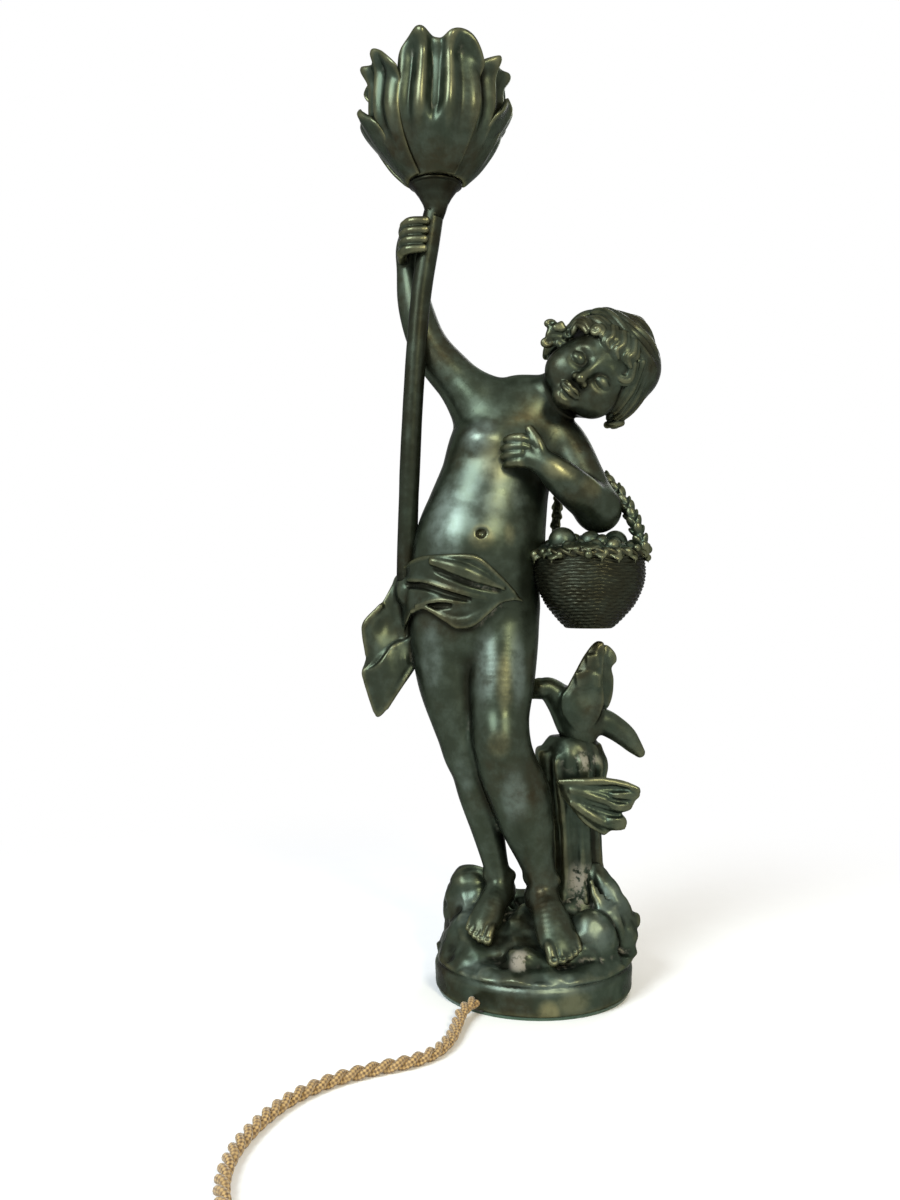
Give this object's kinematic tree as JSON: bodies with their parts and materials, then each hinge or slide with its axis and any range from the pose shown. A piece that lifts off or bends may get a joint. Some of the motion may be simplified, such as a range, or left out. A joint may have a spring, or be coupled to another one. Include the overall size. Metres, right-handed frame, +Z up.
{
  "type": "figural table lamp",
  "caption": "Cast bronze table lamp: a standing child on rockwork with a basket raises a flower-shaped lampholder on a curved stem; textile flex with in-line switch and plug.",
  "frame": {"origin": "centre of the round base's underside, on the table", "axes": "+Z up, the figure faces -Y, +X to the figure's left hand"},
  "size_m": [0.1979, 0.4245, 0.4995],
  "materials": {
    "bronze": "dark green-brown patina, satin",
    "steel": "zinc plated",
    "brass": "satin",
    "brown_plastic": "moulded, satin",
    "textile_flex": "twisted braided flex",
    "felt": "felt",
    "porcelain": "glazed",
    "bush_rubber": "matt",
    "tie_tape": "woven tape"
  },
  "bodies": {
    "lamp": {"base_casting": "bronze", "torso": "bronze", "head": "bronze", "right_arm": "bronze", "left_arm": "bronze", "right_leg": "bronze", "left_leg": "bronze", "hips": "bronze", "basket": "bronze", "basket_handle": "bronze", "basket_fruit": "bronze", "tree_stump": "bronze", "stump_leaf": "bronze", "bird": "bronze", "stem": "bronze", "flower_cup": "bronze", "outer_petals": "bronze", "bottom_plate": "steel", "plate_screws": "steel", "fixing_studs": "steel", "fixing_pipe": "steel", "fixing_washers": "steel", "fixing_nuts": "steel", "threaded_nipple": "steel", "lock_nut": "steel", "switch_screws": "steel", "rocker_pin": "steel", "holder_cap": "brass", "holder_body": "brass", "screw_shell": "brass", "centre_contact": "brass", "holder_screws": "brass", "terminal_screws": "brass", "switch_contacts": "brass", "plug_pins": "brass", "switch_upper": "brown_plastic", "switch_lower": "brown_plastic", "plug_body": "brown_plastic", "plug_sleeve": "brown_plastic", "terminal_block": "brown_plastic", "cord_run": "textile_flex", "cord_coil": "textile_flex", "cord_entry": "textile_flex", "inner_lead": "textile_flex", "felt_pad": "felt", "holder_insert": "porcelain", "cord_bush": "bush_rubber", "cord_tie": "tie_tape"},
    "rocker": {"switch_rocker": "brown_plastic"}
  },
  "joints": [
    {"name": "rocker_tilt", "type": "hinge", "parent": "lamp", "child": "rocker", "pos_m": [-0.043, -0.263, 0.0105], "axis": [0, 1, 0], "range_deg": [0, 16]}
  ]
}
